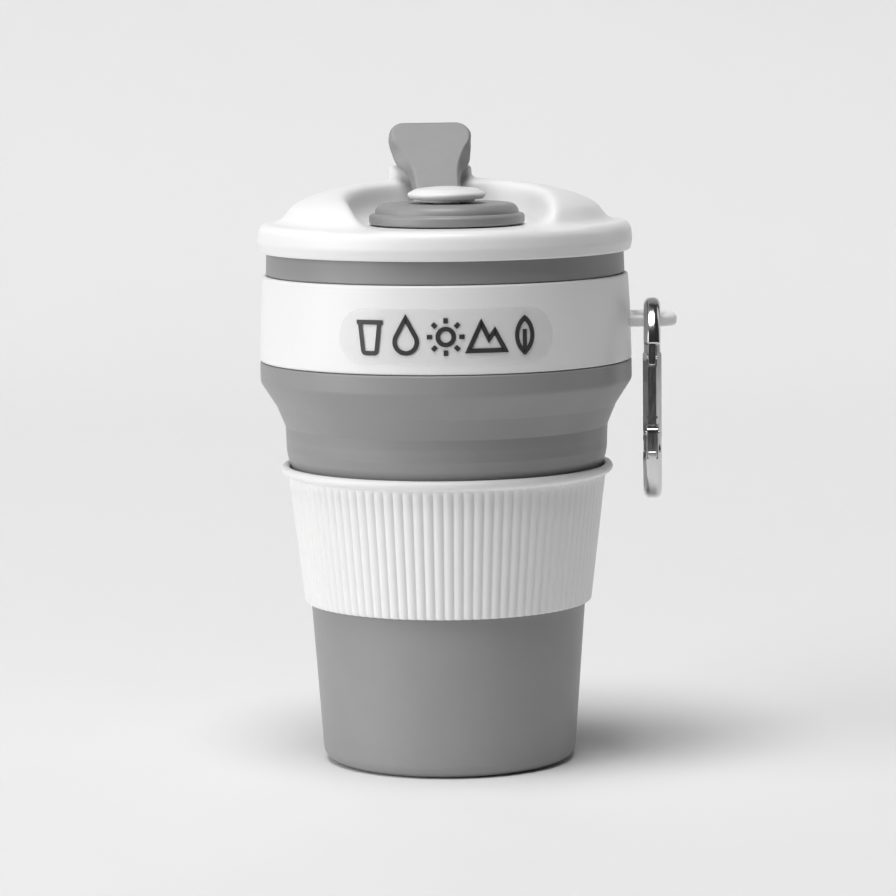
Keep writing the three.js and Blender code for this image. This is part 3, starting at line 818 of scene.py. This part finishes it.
def soften_pocket_rim(body):
    """Evens the skin everywhere and rounds the pocket's rim and the dome's foot much more."""
    group = body.vertex_groups.new(name="rim")
    to_lid = ON_LID.inverted()
    rim_reach, foot_reach = 7, 2.4  # how far the rounding spreads to each side
    for v in body.data.vertices:
        p = to_lid @ (v.co / MM)
        across = abs(p.x) if p.y < POCKET_Y else math.hypot(p.x, p.y - POCKET_Y)
        off_rim = abs(across - POCKET_RADIUS - 0.6)
        off_foot = abs(v.co.xy.length / MM - DOME_RADIUS)
        rim = max(0.0, 1 - off_rim / rim_reach) if p.z > FLANGE_TOP - 0.6 else 0.0
        foot = max(0.0, 1 - off_foot / foot_reach) if p.z > FLANGE_TOP - 0.5 else 0.0
        group.add([v.index], min(1.0, 1.6 * max(rim, 0.8 * foot)), "REPLACE")
    round_rim = body.modifiers.new("round_rim", "SMOOTH")
    round_rim.vertex_group = "rim"
    round_rim.iterations = 320
    round_rim.factor = 0.5
    even = body.modifiers.new("even", "SMOOTH")
    even.iterations = 5
    even.factor = 0.5
    settle(body)
    body.vertex_groups.clear()
    body.data.set_sharp_from_angle(angle=math.pi)


def lid_seal():
    """Sealing ring with two small lips."""
    low, high = LOW["lid_seal"].z, HIGH["lid_seal"].z
    inner, outer = 41.65, 42.1
    outline = rounded([
        (inner, low, 0.15),
        (outer, low, 0.2),
        (outer, low + 1.0, 0.2),
        (41.85, low + 1.6, 0.2),
        (outer, low + 2.2, 0.2),
        (outer, high, 0.2),
        (inner, high, 0.15),
    ], 4)
    return revolve("lid_seal_ring", outline, 160)


# ---------------------------------------------------------------- stopper


def stopper_disc():
    """The stopper's round foot in two tiers."""
    low, high, bore = LOW["stopper_base"].z, HIGH["stopper_base"].z, 3.9
    outline = rounded([
        (bore, low, 0.2),
        (DISC_RADIUS, low, 0.7),
        (DISC_RADIUS + 0.02, DISC_STEP, 0.9),
        (DISC_RADIUS - 1.4, DISC_STEP + 0.12, 0.25),
        (DISC_RADIUS - 1.65, high, 2.3),
        (bore, high, 0.2),
    ], 8)
    piece = revolve("stopper_disc", outline, 160)
    return weigh_normals(moved(piece, ON_LID @ Matrix.Translation((0, DISC_Y, 0))))


def stopper_button():
    """The mushroom rivet: a barbed stem, a collar and a domed cap."""
    low, high = LOW["stopper_button"].z, HIGH["stopper_button"].z
    outline = rounded([
        (0, low),
        (3, low, 0.3),
        (4.6, low + 1.2, 0.2),
        (4.6, low + 1.4, 0.2),
        (BUTTON_STEM, low + 1.5, 0.2),
        (BUTTON_STEM, BUTTON_LOW, 0.1),
        (BUTTON_COLLAR, BUTTON_LOW, 0.1),
        (BUTTON_COLLAR, BUTTON_LOW + 0.6, 0.1),
        (BUTTON_RADIUS - 0.8, BUTTON_LOW + 0.75, 0.3),
        (BUTTON_RADIUS, BUTTON_LOW + 1.3, 0.6),
        (BUTTON_RADIUS - 0.05, BUTTON_LOW + 2.15, 0.8),
        (BUTTON_RADIUS - 2, BUTTON_LOW + 3.15, 3),
        (3, high, 5),
        (0, high),
    ], 5)
    piece = revolve("stopper_button_cap", outline, 128)
    return weigh_normals(moved(piece, ON_LID @ Matrix.Translation((0, DISC_Y, 0))))


def edge_width(edge, s):
    """An edge's distance from the flap's middle at distance s from the hinge, eased between its points."""
    near = s + np.linspace(-0.7, 0.7, 9)
    return float(np.mean(np.interp(near, [p[0] for p in edge], [p[1] for p in edge])))


def flap_section(s):
    """The stopper's section at distance s from the hinge: (across, height off the hinge plane) points."""
    past = max(0.0, s - (FLAP_TIP - FLAP_CORNER))
    tuck = FLAP_CORNER - math.sqrt(max(0.0, FLAP_CORNER**2 - past**2))
    root = 1.6 * max(0.0, (-s - 9.5) / 3.5) ** 2  # the neck widens into the disc
    face = min(edge_width(FACE_EDGE, s) + root, FLAP_HALF - tuck)
    back = min(edge_width(BACK_EDGE, s) + root, FLAP_HALF - tuck)
    under = UNDER + 0.5 * min(1.0, max(0.0, (2.5 - s) / 8))
    corners = [(-face, FACE, 0.85), (face, FACE, 0.85), (back, under, 0.7), (-back, under, 0.7)]
    lean = -0.02 * max(0.0, s + 4)
    return [p + Vector((lean, 0)) for p in rounded(corners, 6)]


def stopper_flap():
    """Neck and flap as one soft form, with the plug under it, standing open."""
    end_run, end_round = 1.6, 0.9  # the stretch of close stations at the tip, and the tip's rounding
    stations = [*np.linspace(NECK_END, 4, 28), *np.linspace(4.4, FLAP_TIP - end_run, 20)]
    stations += [FLAP_TIP - end_run + end_run * math.sin(math.pi / 2 * k / 9) for k in range(1, 9)]
    middle, half_thick = (FACE + UNDER) / 2, (FACE - UNDER) / 2
    sections = []
    for s in stations:
        into = max(0.0, (s - (FLAP_TIP - end_round)) / end_round)
        trim = 0.85 * (1 - math.sqrt(max(0.0, 1 - into * into)))
        squeeze = 1 - trim / half_thick
        section = flap_section(min(s, FLAP_TIP - 0.35))
        sections.append([(x * (1 - 0.12 * trim), s, middle + (h - middle) * squeeze) for x, h in section])
    piece = loft("stopper_flap_soft", sections)
    plug_outline = stadium(SIP["half"], SIP["deep"], SIP["y"] - HINGE_Y, 0.4)
    joined(piece, prism("plug", plug_outline, -0.7, UNDER + 0.4, bevel=0.45))
    stand = ON_LID @ Matrix.Translation((0, HINGE_Y, HINGE.z)) @ Matrix.Rotation(FLAP_OPEN, 4, "X")
    moved(piece, stand)
    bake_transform(piece)
    return weigh_normals(piece)


# ---------------------------------------------------------------- clip


def wire_section(w, d):
    """A nearly elliptical section of (across, off-centre) points with half width w and half depth d."""
    radius = min(w, d) - 0.12
    return rounded([(-w, -d, radius), (w, -d, radius), (w, d, radius), (-w, d, radius)], 8)


def swept(name, path, half_widths):
    """A wire along a (y, z) path whose half width changes, with its end edges eased."""
    sections = []
    last = len(path) - 1
    for n, (p, half_width) in enumerate(zip(path, half_widths)):
        along = (path[min(n + 1, last)] - path[max(n - 1, 0)]).normalized()
        out = Vector((along.y, -along.x))
        section = wire_section(half_width, CLIP_WIRE / 2)
        ring = [(CLIP_X + x, *(p + out * d)) for x, d in section]
        tip = p + (along if n else -along) * 0.25
        eased = [(CLIP_X + x * 0.86, *(tip + out * d * 0.84)) for x, d in section]
        if n == 0:
            sections.append(eased)
        sections.append(ring)
        if n == last:
            sections.append(eased)
    return loft(name, sections)


def across_clip(name, outline, half_width, bevel=0.0):
    """An outline in (y, z) given a width across the clip."""
    yz_to_xy = Matrix(((0, 0, 1, 0), (1, 0, 0, 0), (0, 1, 0, 0), (0, 0, 0, 1)))
    block = prism(name, outline, -half_width, half_width, bevel=bevel)
    return moved(block, Matrix.Translation((CLIP_X, 0, 0)) @ yz_to_xy)


def clip_pin(name, radius, z, crown=0.12, half_length=GATE_HALF):
    """A pin across the clip at height z on the gate, with gently domed ends."""
    outline = rounded([
        (0, -half_length),
        (radius, -half_length + crown, 0.08),
        (radius, half_length - crown, 0.08),
        (0, half_length),
    ], 3)
    turned = revolve(name, outline, SMALL_SEGMENTS)
    return moved(turned, Matrix.Translation((CLIP_X, GATE_Y, z)) @ Matrix.Rotation(math.pi / 2, 4, "Y"))


def carabiner_frame():
    """The bent wire from the nose over the top and round to the hinge, with its tongue and hook."""
    middle = CLIP_RADIUS - CLIP_WIRE / 2
    nose = math.pi - math.asin((NOSE - CLIP_TOP) / middle)
    toe = math.pi + math.asin((CLIP_BOTTOM - SHOULDER) / middle)
    top_half, bottom_half, growth = 2.08, 2.32, 25  # the wire gets wider over that much height

    def bend(level, angle, side):
        return Vector((CLIP_Y + middle * math.cos(angle), level + side * middle * math.sin(angle)))

    path = [bend(CLIP_TOP, angle, 1) for angle in np.linspace(nose, 0, 40)]
    path += [Vector((CLIP_Y + middle, z)) for z in np.linspace(CLIP_TOP, CLIP_BOTTOM, 14)[1:-1]]
    path += [bend(CLIP_BOTTOM, angle, -1) for angle in np.linspace(0, toe, 44)]
    halves = [top_half + (bottom_half - top_half) * min(1, max(0, (CLIP_TOP - p.y) / growth)) for p in path]
    body = swept("carabiner_frame_fine", path, halves)
    deep = GATE_DEEP / 2
    tongue_outline = rounded([
        (GATE_Y - deep, TONGUE_LOW),
        (GATE_Y + deep, TONGUE_LOW),
        (GATE_Y + deep, TONGUE_TOP, 1.6),
        (GATE_Y - deep, TONGUE_TOP, 1.6),
    ], 8)
    notch = LATCH_RADIUS + LATCH_PLAY
    front, back, root = GATE_Y - 1.2, GATE_Y + 1.5, NOSE + 1.2
    hook_outline = [
        (front, root),
        (front, HOOK_LOW),
        (back, HOOK_LOW),
        (back, LATCH_Z - notch),
        (GATE_Y - notch, LATCH_Z - notch),
        (GATE_Y - notch, LATCH_Z + notch),
        (back, LATCH_Z + notch),
        (back, root),
    ]
    tongue = across_clip("tongue", tongue_outline, 1.5, 0.3)
    combine(tongue, "DIFFERENCE", clip_pin("tongue_hole", PIVOT_RADIUS + 0.1, PIVOT_Z, 0, 4))
    hook = across_clip("hook", hook_outline, 0.9, 0.12)
    return weigh_normals(moved(joined(body, tongue, hook), ON_CLIP))


def gate_pivot():
    """The rivet that the gate turns on."""
    return moved(clip_pin("gate_pivot_rivet", PIVOT_RADIUS, PIVOT_Z), ON_CLIP)


def gate_latch():
    """The rod that catches in the hook."""
    return moved(clip_pin("gate_latch_rod", LATCH_RADIUS, LATCH_Z), ON_CLIP)


def carabiner_gate():
    """A bar with chamfered outer edges, forked at both ends, with a ring groove and a bore for the spring."""
    low, high = LOW["carabiner_gate"].z, HIGH["carabiner_gate"].z
    front, back = GATE_Y - GATE_DEEP / 2, GATE_Y + GATE_DEEP / 2
    chamfer = 1.3
    body = prism("carabiner_gate_fine", [
        (CLIP_X - GATE_HALF, back),
        (CLIP_X - GATE_HALF, front + chamfer),
        (CLIP_X - GATE_HALF + chamfer, front),
        (CLIP_X + GATE_HALF - chamfer, front),
        (CLIP_X + GATE_HALF, front + chamfer),
        (CLIP_X + GATE_HALF, back),
    ], low, high)

    def slot(name, bottom, top, half_width):
        ends = [(GATE_Y - 4, bottom), (GATE_Y + 4, bottom), (GATE_Y + 4, top), (GATE_Y - 4, top)]
        return across_clip(name, ends, half_width)

    bore_outline = [
        Vector((0, BORE["low"])),
        Vector((BORE["radius"], BORE["low"])),
        Vector((BORE["radius"], BORE["high"])),
        Vector((0, BORE["high"])),
    ]
    bore = revolve("bore", bore_outline, 24)
    groove_back = front + RING_DEPTH
    groove = [
        (CLIP_X - 4, front - 1),
        (CLIP_X + 4, front - 1),
        (CLIP_X + 4, groove_back),
        (CLIP_X - 4, groove_back),
    ]
    combine(
        body,
        "DIFFERENCE",
        slot("fork", 70, 85.9, 1.8),
        slot("latch_slot", 100.1, 110, 1.2),
        moved(bore, Matrix.Translation((CLIP_X, GATE_Y, 0))),
        prism("groove", groove, RING_LOW, RING_HIGH),
        clip_pin("pivot_hole", PIVOT_RADIUS + 0.05, PIVOT_Z, 0, 4),
        clip_pin("latch_hole", LATCH_RADIUS + 0.05, LATCH_Z, 0, 4),
    )
    soften(body, 0.14, 2, 40)
    return weigh_normals(moved(body, ON_CLIP))


def gate_spring():
    """A coil in the gate's bore."""
    low, high = LOW["gate_spring"].z, HIGH["gate_spring"].z
    coil, wire, turns, steps = 0.48, 0.12, 9, 20
    sections = []
    for k in range(turns * steps + 1):
        angle = TAU * k / steps
        z = low + wire + (high - low - 2 * wire) * k / (turns * steps)
        out = Vector((math.cos(angle), math.sin(angle), 0))
        middle = Vector((CLIP_X, GATE_Y, z)) + out * coil
        corners = [TAU * m / 8 for m in range(8)]
        spokes = [out * math.cos(c) + Vector((0, 0, math.sin(c))) for c in corners]
        sections.append([tuple(middle + wire * spoke) for spoke in spokes])
    return moved(loft("gate_spring_coil", sections), ON_CLIP)


def gate_plunger():
    """The round-nosed pin that the spring presses on the tongue."""
    low, high, radius = LOW["gate_plunger"].z, HIGH["gate_plunger"].z, 0.6
    outline = rounded([(0, low), (radius, low + 0.05, 0.3), (radius, high, 0.08), (0, high)], 5)
    piece = revolve("gate_plunger_fine", outline, SMALL_SEGMENTS)
    return moved(piece, ON_CLIP @ Matrix.Translation((CLIP_X, GATE_Y, 0)))


# ---------------------------------------------------------------- stage


def set_camera():
    """A long lens in front, a little above the lid and tipped down."""
    data = bpy.data.cameras.new("camera")
    data.lens, data.sensor_width = 154.0, 36.0
    data.clip_start, data.clip_end = 0.05, 60
    camera = bpy.data.objects.new("camera", data)
    aside, distance, height = 0.00027, 0.956, 0.1883
    down, turn = 6.566, -0.59  # degrees
    place = Matrix.Translation((aside, -distance, height))
    tip = Matrix.Rotation(math.radians(90 - down), 4, "X")
    roll = Matrix.Rotation(math.radians(turn), 4, "Z")
    camera.matrix_world = place @ tip @ roll
    bpy.context.scene.collection.objects.link(camera)
    bpy.context.scene.camera = camera


def area_light(name, place, size, power):
    """A soft panel aimed at the middle of the cup."""
    data = bpy.data.lights.new(name, "AREA")
    data.shape = "RECTANGLE"
    data.size, data.size_y = size
    data.energy = power
    light = bpy.data.objects.new(name, data)
    aim = (Vector((0, 0, 0.08)) - Vector(place)).to_track_quat("-Z", "Y")
    light.matrix_world = Matrix.Translation(place) @ aim.to_matrix().to_4x4()
    bpy.context.scene.collection.objects.link(light)


def sun_light(name, direction, strength, spread):
    """Even light along a direction, softened over a spread in degrees."""
    data = bpy.data.lights.new(name, "SUN")
    data.energy = strength
    data.angle = math.radians(spread)
    light = bpy.data.objects.new(name, data)
    light.matrix_world = Vector(direction).to_track_quat("-Z", "Y").to_matrix().to_4x4()
    bpy.context.scene.collection.objects.link(light)


def cove():
    """A pale sheet that lies under the object and curves up behind it."""
    left, right, front, bend, radius, top = -1.4, 1.2, -0.42, 0.9, 0.9, 2.5
    profile = [(front, 0.0), (bend, 0.0)]
    steps = 24
    for k in range(1, steps + 1):
        angle = math.pi / 2 * k / steps
        profile.append((bend + radius * math.sin(angle), radius * (1 - math.cos(angle))))
    profile.append((bend + radius, top))
    below = 5e-5  # a hair under the foot
    verts = [(x, y, z - below) for y, z in profile for x in (left, right)]
    faces = [(2 * k, 2 * k + 1, 2 * k + 3, 2 * k + 2) for k in range(len(profile) - 1)]
    mesh = bpy.data.meshes.new("floor")
    mesh.from_pydata(verts, [], faces)
    mesh.shade_smooth()
    floor = bpy.data.objects.new("floor", mesh)
    bpy.context.scene.collection.objects.link(floor)
    mesh.materials.append(pale_floor())


def set_lights():
    """A big soft key from the left front, a faint rim from the right back and soft light from above."""
    area_light("left_key", (-1.12, -0.56, 0.5), (1.1, 1.1), 11.2)
    area_light("right_rim", (0.95, 0.5, 0.5), (0.5, 0.9), 1.1)
    sun_light("overhead", (0.1, 0.24, -1.0), 2.5, 34)
    world = bpy.data.worlds.new("studio")
    world.use_nodes = True
    world.node_tree.nodes["Background"].inputs["Color"].default_value = (1, 1, 1, 1)
    world.node_tree.nodes["Background"].inputs["Strength"].default_value = 0.03
    bpy.context.scene.world = world
    bpy.context.scene.view_settings.view_transform = "Standard"


# ---------------------------------------------------------------- the object

SILICONE, PLASTIC = grey_silicone(), white_plastic()
STEEL, SPRING = polished_steel(), spring_steel()

dress(cup_lower(), SILICONE, None, ["base_section", "lower_fold", "middle_section"])
dress(cup_upper(), SILICONE, None, ["upper_fold", "rim_section"])
dress(heat_sleeve(), PLASTIC, "sleeve", ["heat_sleeve"])
dress(carry_band(), PLASTIC, "top", ["carry_band"])
dress(clip_loop(), PLASTIC, "top", [])
dress(band_label(), clear_film(), "top", ["band_label"])
dress(label_print(), label_ink(), "top", [])
dress(lid_shell(), PLASTIC, "lid", ["lid_shell"])
dress(lid_seal(), SILICONE, "lid", ["lid_seal"])
dress(stopper_disc(), SILICONE, "lid", ["stopper_base"])
dress(stopper_button(), PLASTIC, "lid", ["stopper_button"])
dress(stopper_flap(), SILICONE, None, ["stopper_strap", "stopper_flap"])
dress(carabiner_frame(), STEEL, "carabiner", ["carabiner_frame"])
dress(gate_pivot(), STEEL, "carabiner", ["gate_pivot_pin"])
dress(carabiner_gate(), STEEL, "gate", ["carabiner_gate"])
dress(gate_latch(), STEEL, "gate", ["gate_latch_pin"])
dress(gate_spring(), SPRING, "gate", ["gate_spring"])
dress(gate_plunger(), SPRING, "gate", ["gate_plunger"])

set_camera()
cove()
set_lights()
